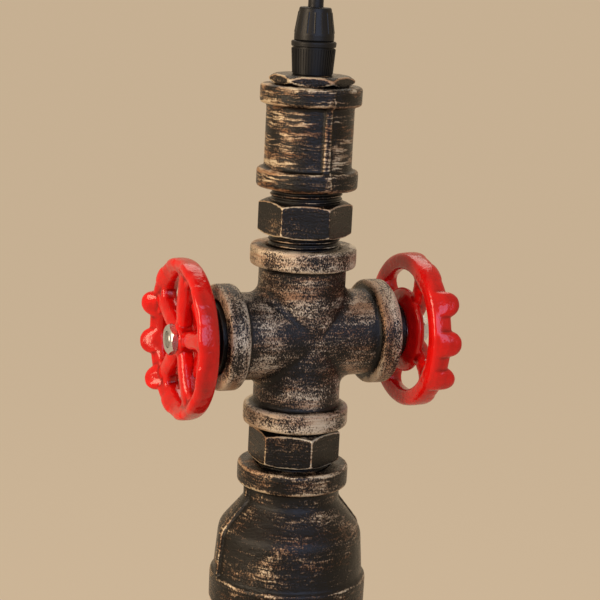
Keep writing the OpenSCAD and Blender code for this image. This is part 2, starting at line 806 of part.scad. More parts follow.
// One spoke: a rounded bar over the dish, with a web that widens in an arc where it meets the rim
module spoke() {
    reach = rim_in_r + 1.5;
    low = dish_depth + hub_back + 0.4;
    high = rim_lift + hub_back + rim_h - 0.3;
    half = spoke_w / 2;
    web_half = half - 0.4;
    bend = rim_in_r - spoke_sweep;
    translate([5, 0, 0])
        rotate([90, 0, 90])
            linear_extrude(reach - 5)
                polygon(rounded([[-half, low, 1.2], [half, low, 1.2], [half, high, 1.8], [-half, high, 1.8]]));
    translate([0, 0, rim_lift + hub_back + 0.8])
        linear_extrude(rim_h - 1.8)
            polygon([
                for (k = [0:10])
                    [bend + spoke_sweep * sin(9 * k), web_half + spoke_sweep * (1 - cos(9 * k))],
                [reach, web_half + spoke_sweep],
                [reach, -web_half - spoke_sweep],
                for (k = [10:-1:0])
                    [bend + spoke_sweep * sin(9 * k), -web_half - spoke_sweep * (1 - cos(9 * k))]
            ]);
}

// The dished centre, convex towards the pipe, with a low wall and a rounded edge
module wheel_dish() {
    top = dish_depth + hub_back + 1.4;
    rotate_extrude()
        polygon(rounded([
            [0, hub_back, 0], [dish_r - 5.4, hub_back, 3], [dish_r, dish_depth + hub_back, 0.9],
            [dish_r, top, 0.7], [dish_r - 1.6, top, 0.7], [dish_r - 6.3, dish_wall + hub_back, 2.5],
            [0, dish_wall + hub_back, 0]
        ]));
}
module handwheel(side) {
    spokes = side > 0 ? right_spokes : left_spokes;
    color(wheel_red)
    on_arm(side)
        translate([0, 0, rim_back_x])
            rotate(wheel_turn(side))
                difference() {
                    union() {
                        wheel_rim();
                        wheel_dish();
                        translate([0, 0, hub_back])
                            rotate_extrude()
                                polygon(rounded([
                                    [0, 0, 0], [hub_d / 2, 0, 0], [hub_d / 2 - 0.6, hub_l, 0.8], [0, hub_l, 0]
                                ]));
                        for (k = [0:spokes - 1]) rotate(360 * k / spokes) spoke();
                    }
                    translate([-stem_square / 2 - seat_gap, -stem_square / 2 - seat_gap, -3])
                        cube([stem_square + 2 * seat_gap, stem_square + 2 * seat_gap, hub_l + 6]);
                    translate([0, 0, -3]) cylinder(d = stem_d - 2.6, h = hub_l + 6);
                }
}

// The nut that holds a wheel on its stem
module wheel_nut(side) {
    color(zinc)
    on_arm(side)
        translate([0, 0, nut_x])
            difference() {
                hexagon(nut_af, nut_h, 0.8);
                translate([0, 0, -1]) cylinder(d = stem_thread_d + seat_gap, h = nut_h + 2);
            }
}

module left_plug() { plug(-1); }
module left_stem() { stem(-1); }
module left_clip() { clip(-1); }
module left_washer() { washer(-1); }
module left_handwheel() { handwheel(-1); }
module left_nut() { wheel_nut(-1); }
module right_plug() { plug(1); }
module right_stem() { stem(1); }
module right_clip() { clip(1); }
module right_washer() { washer(1); }
module right_handwheel() { handwheel(1); }
module right_nut() { wheel_nut(1); }

// The reducing socket, from the nipple's thread to the wide mouth
reducer_flare_z = 14;
reducer_shoulder_z = 27;
function reducer_outline(add) = [
    [reducer_neck_d / 2 + add, -reducer_top_h, inner_r],
    [reducer_neck_d / 2 + add, -reducer_flare_z, 3.5],
    [reducer_body_d / 2 - 1.4 + add, -reducer_shoulder_z + 2, 7],
    [reducer_body_d / 2 + add, -reducer_l + reducer_band_h, 0]
];
module reducing_socket() {
    top = reducer_top_d / 2;
    band = reducer_band_d / 2;
    color(iron)
    translate([0, 0, reducer_z])
        difference() {
            union() {
                rotate_extrude($fn = 96)
                    polygon(rounded(concat(
                        [[0, 0, 0], [top, 0, edge_r], [top, -reducer_top_h, edge_r]],
                        reducer_outline(0),
                        [
                            [band, -reducer_l + reducer_band_h, 1], [band, -reducer_l, edge_r], [0, -reducer_l, 0]
                        ]
                    )));
                for (s = [0, 180])
                    rotate([90, 0, s])
                        translate([0, 0, -reducer_rib_w / 2])
                            linear_extrude(reducer_rib_w)
                                polygon(rounded(concat(
                                    [[5, -reducer_top_h, 0]],
                                    reducer_outline(reducer_rib_h),
                                    [[5, -reducer_l + reducer_band_h, 0]]
                                )));
            }
            translate([0, 0, -reducer_l / 2]) cylinder(d = core_bore_d, h = reducer_l);
            threaded_mouth(thread_depth);
            translate([0, 0, -reducer_l - 1]) cylinder(d = reducer_bore_d, h = reducer_l - 26);
            translate([0, 0, -27])
                cylinder(d1 = reducer_bore_d, d2 = core_bore_d, h = 7);
            translate([0, 0, -reducer_l - 1]) cylinder(d = reducer_bore_d + 1.6, h = 2.2);
        }
}

// The washer that carries the hollow rod on the lower nipple's upper end
rod_seat_z = lower_hex_z + nipple_end;
rod_washer_t = 2;
rod_nut_h = 4;
holder_z = mouth_z - holder_out;
holder_top_z = holder_z + holder_h;
bridge_t = 1.5;
bridge_z = holder_top_z + 1.6;
rod_top_z = rod_seat_z + rod_washer_t + rod_nut_h + 1.4;
rod_low_z = bridge_z - 0.6;
module rod_washer() {
    color(zinc)
    translate([0, 0, rod_seat_z])
        difference() {
            cylinder(d = core_bore_d - 0.8, h = rod_washer_t);
            translate([0, 0, -1]) cylinder(d = rod_d + 2 * seat_gap, h = rod_washer_t + 2);
        }
}
module hollow_rod() {
    color(brass)
    translate([0, 0, rod_low_z])
        difference() {
            cylinder(d = rod_d, h = rod_top_z - rod_low_z);
            translate([0, 0, -1]) cylinder(d = rod_bore_d, h = rod_top_z - rod_low_z + 2);
        }
}

// The nuts on the rod: one on the washer, one on the lampholder's bridge
module rod_nuts() {
    color(zinc)
    for (z = [rod_seat_z + rod_washer_t + tag_t, bridge_z + bridge_t])
        translate([0, 0, z])
            difference() {
                hexagon(14, rod_nut_h - (z > rod_seat_z ? tag_t : 0), 0.7);
                translate([0, 0, -1]) cylinder(d = rod_d + seat_gap, h = rod_nut_h + 2);
            }
}

// The ring tag that earths the pipework, clamped under the upper nut
tag_t = 0.8;
tag_angle = 125;
module earth_tag() {
    color(zinc)
    translate([0, 0, rod_seat_z + rod_washer_t])
        rotate(tag_angle)
            difference() {
                union() {
                    cylinder(d = 16, h = tag_t);
                    translate([0, -1.5, 0]) cube([9.6, 3, tag_t]);
                    translate([8.2, -1.5, 0]) cube([1.4, 3, 7]);
                }
                translate([0, 0, -1]) cylinder(d = rod_d + 2 * seat_gap, h = 4);
            }
}

// The two cores that run down through the rod to the lampholder
contact_x = 12.5;
contact_y = -8.4;
module lamp_cores() {
    color(worn_copper)
    for (s = [-1, 1])
        swept_tube([
            [s * 1.2, 0.4, cord_low_z - 0.4], [s * 1.8, 0.6, cord_low_z - 12], [s * 3, 1.4, cord_low_z - 30],
            [s * 2.6, 2, cord_low_z - 50], [s * 1.4, 1.8, cord_low_z - 68], [s * 2.2, 1, cord_low_z - 82],
            [s * 2, 0, rod_top_z + 10], [s * 1.6, 0, rod_top_z], [s * 1.6, 0, (rod_top_z + rod_low_z) / 2],
            [s * 1.6, 0, rod_low_z + 4], [s * 1.6, 0, rod_low_z + 0.6], [s * 2, -0.8, holder_top_z - 0.9],
            [s * 0.3 * contact_x, 0.3 * contact_y, holder_top_z - 1.6],
            [s * 0.6 * contact_x, 0.6 * contact_y, holder_top_z - 2],
            [s * contact_x, contact_y, holder_top_z - 2.6]
        ], core_d);
}

// The earth core, which ends at the ring tag
module earth_core() {
    color("#5c7a2e")
    swept_tube([
        [0, -1.6, cord_low_z - 0.4], [0, -2.4, cord_low_z - 12], [-1, -3.4, cord_low_z - 32],
        [-2, -3, cord_low_z - 54], [-4.4, -0.4, cord_low_z - 74], [-5.4, 3.6, cord_low_z - 88],
        [10.8 * cos(tag_angle), 10.8 * sin(tag_angle), rod_seat_z + rod_washer_t + 9],
        [10.7 * cos(tag_angle), 10.7 * sin(tag_angle), rod_seat_z + rod_washer_t + 2]
    ], core_d);
}

// The bridge that joins the rod to the porcelain
bridge_screw_y = 14;
module holder_bridge() {
    color(zinc)
    difference() {
        union() {
            translate([-5.5, -bridge_screw_y + 4, bridge_z]) cube([11, 2 * bridge_screw_y - 8, bridge_t]);
            translate([0, 0, bridge_z]) cylinder(d = 15, h = bridge_t);
            for (s = [-1, 1]) {
                translate([-4, s * (bridge_screw_y - 4.6) - (s > 0 ? 0 : bridge_t), holder_top_z])
                    cube([8, bridge_t, bridge_z - holder_top_z + bridge_t]);
                translate([-4, s * (bridge_screw_y - 0.4) - 4.2, holder_top_z]) cube([8, 8.4, bridge_t - 0.3]);
            }
        }
        translate([0, 0, bridge_z - 1]) cylinder(d = rod_d + 2 * seat_gap, h = bridge_t + 2);
        for (s = [-1, 1])
            translate([0, s * bridge_screw_y, holder_top_z - 1]) cylinder(d = 3.2, h = 4);
    }
}
module bridge_screws() {
    color(zinc)
    for (s = [-1, 1])
        translate([0, s * bridge_screw_y, holder_top_z]) {
            translate([0, 0, -6]) cylinder(d = 3, h = 8);
            translate([0, 0, bridge_t - 0.3])
                difference() {
                    cylinder(d1 = 5.4, d2 = 4.4, h = 1.6);
                    translate([-3, -0.35, 0.9]) cube([6, 0.7, 1]);
                }
        }
}

// The porcelain body of the lampholder, open at the bottom
shell_d = shell_bore_d + 2 * shell_t;
shell_low = 4;
module lampholder_body() {
    r = holder_d / 2;
    color(porcelain)
    translate([0, 0, holder_z])
        difference() {
            rotate_extrude($fn = 96)
                polygon(rounded([
                    [0, 0, 0], [r, 0, 1.5], [r, holder_h - 9, 2], [r - 4, holder_h - 4, 1.5], [r - 4, holder_h, 1],
                    [0, holder_h, 0]
                ]));
            translate([0, 0, -1]) cylinder(d = shell_d + 2 * seat_gap, h = shell_low + shell_l + 1);
            translate([0, 0, -0.01]) cylinder(d1 = shell_d + 3, d2 = shell_d, h = 1.5);
            translate([0, 0, shell_low + shell_l - 1]) cylinder(d = 20, h = 4);
            for (s = [-1, 1]) {
                translate([0, s * bridge_screw_y, holder_h - 8]) cylinder(d = 3.1, h = 10);
                translate([s * contact_x, contact_y, holder_h - 5]) cylinder(d = 6.5, h = 8);
                translate([0, 0, holder_h - 3.4])
                    rotate(atan2(contact_y, s * contact_x))
                        translate([0, -core_d / 2 - 0.9, 0])
                            cube([norm([contact_x, contact_y]), core_d + 1.8, 5]);
            }
            translate([0, 0, holder_h - 3.4]) cylinder(d = rod_d - 1, h = 5);
        }
}

// The brass screw shell that takes the lamp's cap
module screw_shell() {
    color(brass)
    translate([0, 0, holder_z + shell_low])
        difference() {
            cylinder(d = shell_d, h = shell_l);
            translate([0, 0, -1]) cylinder(d = shell_bore_d, h = shell_l - shell_t + 1);
            cylinder(d = 16, h = shell_l + 2);
        }
}

// The sprung tongue that touches the lamp's centre contact, which stays above the thread
contact_t = 0.5;
tongue_l = 4.2;
tongue_angle = 120;
module centre_contact() {
    color(brass)
    translate([0, 0, holder_z + shell_low + shell_l + 2.9]) {
        translate([-7.5, -2.5, -contact_t]) cube([15, 5, contact_t]);
        translate([3, -2.5, -contact_t / 2]) rotate([0, tongue_angle, 0]) cube([contact_t, 5, tongue_l]);
    }
}

// The screws that clamp the cores at the top of the porcelain
module contact_screws() {
    color(brass)
    for (s = [-1, 1])
        translate([s * contact_x, contact_y, holder_top_z - 5])
            difference() {
                cylinder(d = 5, h = 1.3);
                translate([-3, -0.35, 0.7]) cube([6, 0.7, 1]);
            }
}

ceiling_strap();
side_screws();
ceiling_rose();
terminal_block();
terminal_screws();
rose_cores();
rose_grip_body();
rose_grip_nut();
rose_grip_jaw();
rose_grip_cap();
pendant_cord();
lamp_grip_cap();
lamp_grip_jaw();
lamp_grip_body();
reducing_bush();
straight_socket();
upper_nipple();
cross_fitting();
lower_nipple();
reducing_socket();
lamp_cores();
earth_core();
left_plug();
left_stem();
left_clip();
left_washer();
left_handwheel();
left_nut();
right_plug();
right_stem();
right_clip();
right_washer();
right_handwheel();
right_nut();
hollow_rod();
rod_washer();
rod_nuts();
earth_tag();
holder_bridge();
bridge_screws();
lampholder_body();
screw_shell();
centre_contact();
contact_screws();
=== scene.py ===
"""Looks of the pipe fitting pendant lamp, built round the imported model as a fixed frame.

Sizes are in millimetres, and MM turns them into Blender's metres. Only the studio is written in metres.
"""
import logging
import math
from dataclasses import dataclass
from enum import Enum

import bpy
import numpy as np
from mathutils import Matrix, Vector, noise


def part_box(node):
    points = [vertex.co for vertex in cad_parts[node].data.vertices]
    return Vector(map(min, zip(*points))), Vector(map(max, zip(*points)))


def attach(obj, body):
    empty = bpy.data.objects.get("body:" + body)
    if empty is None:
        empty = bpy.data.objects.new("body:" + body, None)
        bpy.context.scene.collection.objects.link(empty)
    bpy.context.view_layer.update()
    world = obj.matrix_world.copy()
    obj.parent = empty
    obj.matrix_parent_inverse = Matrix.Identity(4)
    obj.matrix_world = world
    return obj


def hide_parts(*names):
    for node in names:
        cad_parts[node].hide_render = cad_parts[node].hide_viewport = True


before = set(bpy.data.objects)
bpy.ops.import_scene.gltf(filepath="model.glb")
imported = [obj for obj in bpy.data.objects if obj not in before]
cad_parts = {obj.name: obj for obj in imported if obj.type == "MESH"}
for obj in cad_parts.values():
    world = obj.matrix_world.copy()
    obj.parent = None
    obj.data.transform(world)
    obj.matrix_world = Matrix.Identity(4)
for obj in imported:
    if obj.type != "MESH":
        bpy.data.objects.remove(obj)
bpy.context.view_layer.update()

MM = 0.001
log = logging.getLogger("pendant")


# Small helpers

def linear(hex_code: str) -> tuple[float, float, float, float]:
    """Turns an sRGB hex colour into linear red, green, blue and alpha.

    Args:
        hex_code: six hex digits with a leading #.

    Returns:
        The four channels, from 0 to 1.
    """
    channels = [int(hex_code[k:k + 2], 16) / 255 for k in (1, 3, 5)]
    return (*(c / 12.92 if c <= 0.04045 else ((c + 0.055) / 1.055) ** 2.4 for c in channels), 1.0)


def put(tree: bpy.types.NodeTree, kind: str, sockets: dict | None = None, stops: list | None = None,
        **settings: object) -> bpy.types.Node:
    """Adds one node with its settings, values and links.

    Args:
        tree: the node tree it goes into.
        kind: the node's type without the leading ShaderNode.
        sockets: input name or number to a value, a node (its first output) or an output socket.
        stops: colour ramp stops as (position, colour) pairs.
        settings: the node's own properties.

    Returns:
        The new node.
    """
    node = tree.nodes.new("ShaderNode" + kind)
    for name, value in settings.items():
        setattr(node, name, value)
    for place, value in (sockets or {}).items():
        if isinstance(value, bpy.types.Node):
            value = value.outputs[0]
        if isinstance(value, bpy.types.NodeSocket):
            tree.links.new(value, node.inputs[place])
        else:
            node.inputs[place].default_value = value
    if stops:
        ramp = node.color_ramp.elements
        while len(ramp) < len(stops):
            ramp.new(0.5)
        for element, (position, colour) in zip(ramp, stops):
            element.position, element.color = position, colour
    return node


def blank(name: str) -> tuple[bpy.types.Material, bpy.types.NodeTree]:
    """Makes an empty node material.

    Args:
        name: the material's name.

    Returns:
        The material and its emptied node tree.
    """
    material = bpy.data.materials.new(name)
    material.use_nodes = True
    material.node_tree.nodes.clear()
    return material, material.node_tree


def close(tree: bpy.types.NodeTree, sockets: dict) -> None:
    """Ends a material in one principled shader.

    Args:
        tree: the material's node tree.
        sockets: the shader's inputs.
    """
    shader = put(tree, "BsdfPrincipled", sockets)
    put(tree, "OutputMaterial", {"Surface": shader})


def millimetres(tree: bpy.types.NodeTree) -> bpy.types.Node:
    """Gives the piece's own coordinates in millimetres.

    Args:
        tree: the material's node tree.

    Returns:
        A vector node.
    """
    place = put(tree, "TexCoord")
    return put(tree, "VectorMath", {0: place.outputs["Object"], "Scale": 1 / MM}, operation="SCALE")


def dress(thing: bpy.types.Object, material: bpy.types.Material) -> None:
    """Gives every face of an object one material.

    Args:
        thing: a piece or a CAD node's object.
        material: its finish.
    """
    thing.data.materials.clear()
    thing.data.materials.append(material)


def dress_nodes(material: bpy.types.Material, *nodes: str) -> None:
    """Gives CAD nodes, which keep their own mesh, one material.

    Args:
        material: their finish.
        nodes: their names.
    """
    for node in nodes:
        dress(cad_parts[node], material)


def add(name: str, data: bpy.types.ID) -> bpy.types.Object:
    """Puts a new object into the scene.

    Args:
        name: the object's name.
        data: its mesh, curve, lamp or camera.

    Returns:
        The object.
    """
    thing = bpy.data.objects.new(name, data)
    bpy.context.scene.collection.objects.link(thing)
    return thing


def background_rays(tree: bpy.types.NodeTree) -> bpy.types.Node:
    """Picks out the rays that show the background, straight on, in metal or through glass.

    Args:
        tree: the floor's or the world's node tree.

    Returns:
        A node that gives 1 for those rays and 0 for the rays that light the object.
    """
    path = put(tree, "LightPath")
    seen = put(tree, "Math", {0: path.outputs["Is Camera Ray"], 1: path.outputs["Is Glossy Ray"]},
               operation="MAXIMUM")
    return put(tree, "Math", {0: seen, 1: path.outputs["Is Transmission Ray"]}, operation="MAXIMUM")


# Meshes as rows of numbers

def points_of(mesh: bpy.types.Mesh) -> np.ndarray:
    """Reads where a mesh's vertices are.

    Args:
        mesh: the mesh.

    Returns:
        One row per vertex, in millimetres.
    """
    points = np.empty(len(mesh.vertices) * 3)
    mesh.vertices.foreach_get("co", points)
    return points.reshape(-1, 3) / MM


def normals_of(mesh: bpy.types.Mesh) -> np.ndarray:
    """Reads which way a mesh's surface faces at its vertices.

    Args:
        mesh: the mesh.

    Returns:
        One unit vector per vertex.
    """
    normals = np.empty(len(mesh.vertices) * 3)
    mesh.vertices.foreach_get("normal", normals)
    return normals.reshape(-1, 3)


def move_points(mesh: bpy.types.Mesh, points: np.ndarray) -> None:
    """Moves a mesh's vertices.

    Args:
        mesh: the mesh.
        points: their new places, in millimetres.
    """
    mesh.vertices.foreach_set("co", (points * MM).ravel())
    mesh.update()


def map_of(mesh: bpy.types.Mesh, name: str) -> np.ndarray:
    """Reads a point attribute.

    Args:
        mesh: the mesh.
        name: the attribute's name.

    Returns:
        One value per vertex.
    """
    values = np.empty(len(mesh.vertices))
    mesh.attributes[name].data.foreach_get("value", values)
    return values


def write_map(mesh: bpy.types.Mesh, name: str, values: np.ndarray) -> None:
    """Writes a point attribute that materials read, and makes it where it is new.

    Args:
        mesh: the mesh.
        name: the attribute's name.
        values: one value per vertex, cut to the range from 0 to 1.
    """
    attribute = mesh.attributes.get(name) or mesh.attributes.new(name, "FLOAT", "POINT")
    attribute.data.foreach_set("value", np.clip(values, 0, 1).astype(np.float32))


def spread(values: np.ndarray, edges: np.ndarray, rounds: int) -> np.ndarray:
    """Averages values over a mesh's neighbours.

    Args:
        values: one row per vertex.
        edges: pairs of vertex numbers.
        rounds: how often the averaging runs.

    Returns:
        The averaged values.
    """
    count = np.bincount(edges.ravel(), minlength=len(values)).astype(float)
    count[count == 0] = 1
    for _ in range(rounds):
        total = np.stack([
            np.bincount(edges[:, 0], values[edges[:, 1], k], len(values))
            + np.bincount(edges[:, 1], values[edges[:, 0], k], len(values))
            for k in range(values.shape[1])], axis=1)
        values = (values + total / count[:, None]) / 2
    return values


@dataclass(frozen=True)
class Casting:
    """How finely a CAD node is meshed as a casting, and how soft its edges and corners become.

    Attributes:
        voxel_mm: size of a mesh cell.
        soften: rounds of relaxing, which round the edges and fill the corners.
        reach: rounds of averaging that set how wide an edge counts as worn.
        nook_reach: rounds of averaging that set how wide a corner is darkened, partly as unbrushed black and
            partly as painted shade, or 0 for no such map.
        skin_mm: height of the casting's uneven skin, or 0 for a smooth one.
        plump_mm: how far the surface swells, which makes up for what the relaxing takes.
        dent_mm: size of one dent of the skin.
        wear_per_mm: wear that a vertex gains for each millimetre that it stands out.
        nook_per_mm: how fast the nook map rises with depth.
    """

    voxel_mm: float
    soften: int
    reach: int
    nook_reach: int = 0
    skin_mm: float = 0.0
    plump_mm: float = 0.0
    dent_mm: float = 3.0
    wear_per_mm: float = 2.0
    nook_per_mm: float = 2.2

    def remeshed(self, node: str, name: str) -> bpy.types.Object:
        """Copies a CAD node with an even mesh.

        Args:
            node: the CAD node.
            name: the new piece's name.

        Returns:
            The piece, without a material.
        """
        piece = add(name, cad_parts[node].data.copy())
        weld = piece.modifiers.new("weld", "WELD")
        weld.merge_threshold = 1e-6
        remesh = piece.modifiers.new("remesh", "REMESH")
        remesh.mode, remesh.voxel_size, remesh.use_smooth_shade = "VOXEL", self.voxel_mm * MM, True
        fine = bpy.data.meshes.new_from_object(piece.evaluated_get(bpy.context.evaluated_depsgraph_get()))
        piece.modifiers.clear()
        piece.data = fine
        fine.materials.clear()
        return piece

    def dents(self, points: np.ndarray) -> np.ndarray:
        """Works out the uneven skin that a sand mould leaves.

        Args:
            points: the vertices, in millimetres.

        Returns:
            How far each vertex moves along its normal, in millimetres, nearly always inwards.
        """
        rough = np.array([
            noise.noise(Vector(p) / self.dent_mm) + 0.5 * noise.noise(Vector(p) * 2.3 / self.dent_mm)
            for p in points])
        return (rough - 1.0) * self.skin_mm

    def build(self, node: str, name: str) -> bpy.types.Object:
        """Makes the casting that stands for a CAD node.

        Args:
            node: the CAD node.
            name: the new piece's name.

        Returns:
            The piece. Its point attribute wear is 0.5 on a flat, more on an edge and less in a corner, where
            the materials darken it partly as painted shade. Its attribute nook rises from 0 to 1 on the way
            into a corner, where a brush doesn't reach; the materials darken it, partly as unbrushed black and
            partly as painted shade.
        """
        piece = self.remeshed(node, name)
        mesh = piece.data
        edges = np.empty(len(mesh.edges) * 2, np.int64)
        mesh.edges.foreach_get("vertices", edges)
        edges = edges.reshape(-1, 2)
        points = spread(points_of(mesh), edges, self.soften)
        move_points(mesh, points)
        normals = normals_of(mesh)
        bulge = ((points - spread(points, edges, self.reach)) * normals).sum(1)
        write_map(mesh, "wear", 0.5 + bulge * self.wear_per_mm)
        # The nook map marks corners for darkening, partly as black that the brush missed and partly as
        # painted shade
        if self.nook_reach:
            depth = -((points - spread(points, edges, self.nook_reach)) * normals).sum(1)
            write_map(mesh, "nook", depth * self.nook_per_mm)
        points = points + normals * self.plump_mm
        if self.skin_mm:
            points = points + normals * self.dents(points)[:, None]
        move_points(mesh, points)
        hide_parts(node)
        return piece


class Side(Enum):
    """The two ends of the cross's level arm."""

    LEFT = -1
    RIGHT = 1

    @property
    def word(self) -> str:
        """The side's word in the names of nodes and bodies."""
        return self.name.lower()


class Brushing(Enum):
    """Which way the bronze was dragged over the black, as scales of the pattern along X, Y and Z.

    A scale of 0.09 makes a streak eleven times as long as it is thick.
    """

    ROUND_THE_PIPE = (0.09, 0.09, 1.0)
    ROUND_THE_ARM = (1.0, 0.09, 0.09)


# Finishes

@dataclass(frozen=True)
class DryBrushedIron:
    """Malleable iron casting, painted black and then dry brushed with bronze.

    It gives the eye bronze on the high spots, streaks along the brush's way, bright worn edges, and black in
    the pits and corners, partly where the brush missed and partly as painted shade. A mesh without its maps,
    such as a CAD node's, stays almost black.

    Attributes:
        name: the material's name.
        brushing: which way the brush went.
        cover: how much more of the surface took bronze than an even half, in parts of the pattern.
        streaks: weight of the brush's streaks.
        rubbed: bronze added on a worn edge.
        on_bands: bronze added on the thick bands.
        span: how far the pattern climbs between bare black and full bronze.
        edge_from: wear at which an edge begins to be rubbed.
        edge_to: wear at which it is fully rubbed.
        arms_from_mm: distance from the middle at which the brush turns round the level arm, or 0 for never.
        paints: black, dark haze, dull bronze, bronze and its brightest touch.
        second: the warm tint of the thinner strokes.
        speck_mm: size of a speck.
        streak_mm: thickness of a streak.
        patches: weight of the broad patches where the brush pressed harder.
        hollow_loss: how much a hollow is darkened, partly for bronze that the brush missed and partly as
            painted shade.
        nook_loss: how much a corner is darkened, partly for bronze that the brush missed and partly as
            painted shade.
        specular: strength of the black paint's gloss.
    """

    name: str
    brushing: Brushing
    cover: float
    streaks: float
    rubbed: float = 0.16
    on_bands: float = 0.1
    span: float = 0.3
    edge_from: float = 0.56
    edge_to: float = 0.84
    arms_from_mm: float = 0.0
    paints: tuple[str, str, str, str, str] = ("#0B0A09", "#1C1612", "#57432F", "#94795A", "#D8C5A2")
    second: str = "#B98A66"
    speck_mm: float = 0.62
    streak_mm: float = 0.75
    patches: float = 0.6
    hollow_loss: float = 0.4
    nook_loss: float = 0.42
    specular: float = 0.27

    def brushed_way(self, tree: bpy.types.NodeTree, mm: bpy.types.Node) -> bpy.types.Node:
        """Stretches the pattern's coordinates along the brush's way, with a slight waver.

        Args:
            tree: the material's node tree.
            mm: the piece's coordinates.

        Returns:
            A vector node.
        """
        # The waver is 4 mm long and bends a streak by up to 1.6 mm
        bent = put(tree, "TexNoise", {"Vector": mm, "Scale": 0.25, "Detail": 1.0})
        shifted = put(tree, "VectorMath", {0: bent.outputs["Color"], "Scale": 1.6}, operation="SCALE")
        moved = put(tree, "VectorMath", {0: mm, 1: shifted}, operation="ADD")
        way = put(tree, "CombineXYZ", dict(enumerate(self.brushing.value))).outputs[0]
        if self.arms_from_mm:
            # The brush went round each mouth of the cross, so its way turns where the level arm begins
            place = put(tree, "SeparateXYZ", {0: mm})
            aside = put(tree, "Math", {0: place}, operation="ABSOLUTE")
            on_arm = put(tree, "Math", {0: aside, 1: self.arms_from_mm}, operation="GREATER_THAN")
            arm_way = put(tree, "CombineXYZ", dict(enumerate(Brushing.ROUND_THE_ARM.value)))
            way = put(tree, "Mix", {0: on_arm, 4: way, 5: arm_way}, data_type="VECTOR").outputs[1]
        return put(tree, "VectorMath", {0: moved, 1: way}, operation="MULTIPLY")

    def make(self) -> bpy.types.Material:
        """Builds the material.

        Returns:
            A node material that reads the piece's maps wear, band and nook.
        """
        material, tree = blank(self.name)
        mm = millimetres(tree)
        wear, band, nook = (put(tree, "Attribute", attribute_name=name).outputs["Fac"]
                            for name in ("wear", "band", "nook"))
        edge = put(tree, "MapRange", {"Value": wear, "From Min": self.edge_from, "From Max": self.edge_to},
                   interpolation_type="SMOOTHSTEP")
        # A hollow starts just under the 0.5 of a flat, and is darkened partly for the bronze the brush missed
        # and partly as painted shade
        hollow = put(tree, "MapRange", {"Value": wear, "From Min": 0.46, "From Max": 0.27},
                     interpolation_type="SMOOTHSTEP")
        drag = self.brushed_way(tree, mm)
        streak = put(tree, "TexNoise", {"Vector": drag, "Scale": 1 / self.streak_mm, "Detail": 4.0,
                                        "Roughness": 0.6})
        # Specks as wide as the sand grain of the mould, pulled a little along the pipe
        grain = put(tree, "VectorMath", {0: mm, 1: (1.0, 1.0, 0.7)}, operation="MULTIPLY")
        specks = put(tree, "TexNoise", {"Vector": grain, "Scale": 1 / self.speck_mm, "Detail": 3.0,
                                        "Roughness": 0.7})
        # Patches are about 12 mm wide, a third of a pipe's width
        patch = put(tree, "TexNoise", {"Vector": mm, "Scale": 0.08, "Detail": 3.0, "Roughness": 0.6})
        speckled = 1.0 - 0.5 * self.streaks
        high = put(tree, "Math", {0: specks, 1: speckled}, operation="MULTIPLY")
        # Hollows and corners are darkened here, partly for the bronze the brush missed and partly as painted
        # shade
        for part, weight in ((streak, self.streaks), (patch, self.patches), (edge, self.rubbed),
                             (band, self.on_bands), (hollow, -self.hollow_loss), (nook, -self.nook_loss)):
            high = put(tree, "Math", {0: part, 1: weight, 2: high}, operation="MULTIPLY_ADD")
        # Each noise averages a half, so this is the height that half of a plain surface reaches
        middle = 0.5 * (speckled + self.streaks + self.patches) - self.cover
        share = put(tree, "MapRange", {"Value": high, "From Min": middle - 0.4 * self.span,
                                       "From Max": middle + 0.6 * self.span})
        stops = zip((0.0, 0.3, 0.5, 0.68, 0.95), self.paints)
        paint = put(tree, "ValToRGB", {0: share}, [(at, linear(shade)) for at, shade in stops])
        # The tint changes with each pass of the brush, about 3 mm wide
        tint = put(tree, "TexNoise", {"Vector": drag, "Scale": 0.3, "Detail": 3.0, "Roughness": 0.6})
        reddish = put(tree, "MapRange", {"Value": tint, "From Min": 0.42, "From Max": 0.62, "To Max": 0.8})
        colour = put(tree, "Mix", {0: reddish, 6: paint, 7: linear(self.second)}, data_type="RGBA",
                     blend_type="MULTIPLY")
        rough = put(tree, "MapRange", {"Value": share, "From Min": 0.3, "From Max": 0.75, "To Min": 0.26,
                                       "To Max": 0.45})
        shine = put(tree, "MapRange", {"Value": share, "From Min": 0.4, "From Max": 0.8, "To Max": 0.35})
        relief = put(tree, "Math", {0: streak, 1: 0.8 * self.streaks, 2: specks}, operation="MULTIPLY_ADD")
        bump = put(tree, "Bump", {"Strength": 0.7, "Distance": 0.35 * MM, "Height": relief})
        close(tree, {"Base Color": colour.outputs[2], "Roughness": rough, "Metallic": shine, "Normal": bump,
                     "Specular IOR Level": self.specular})
        return material


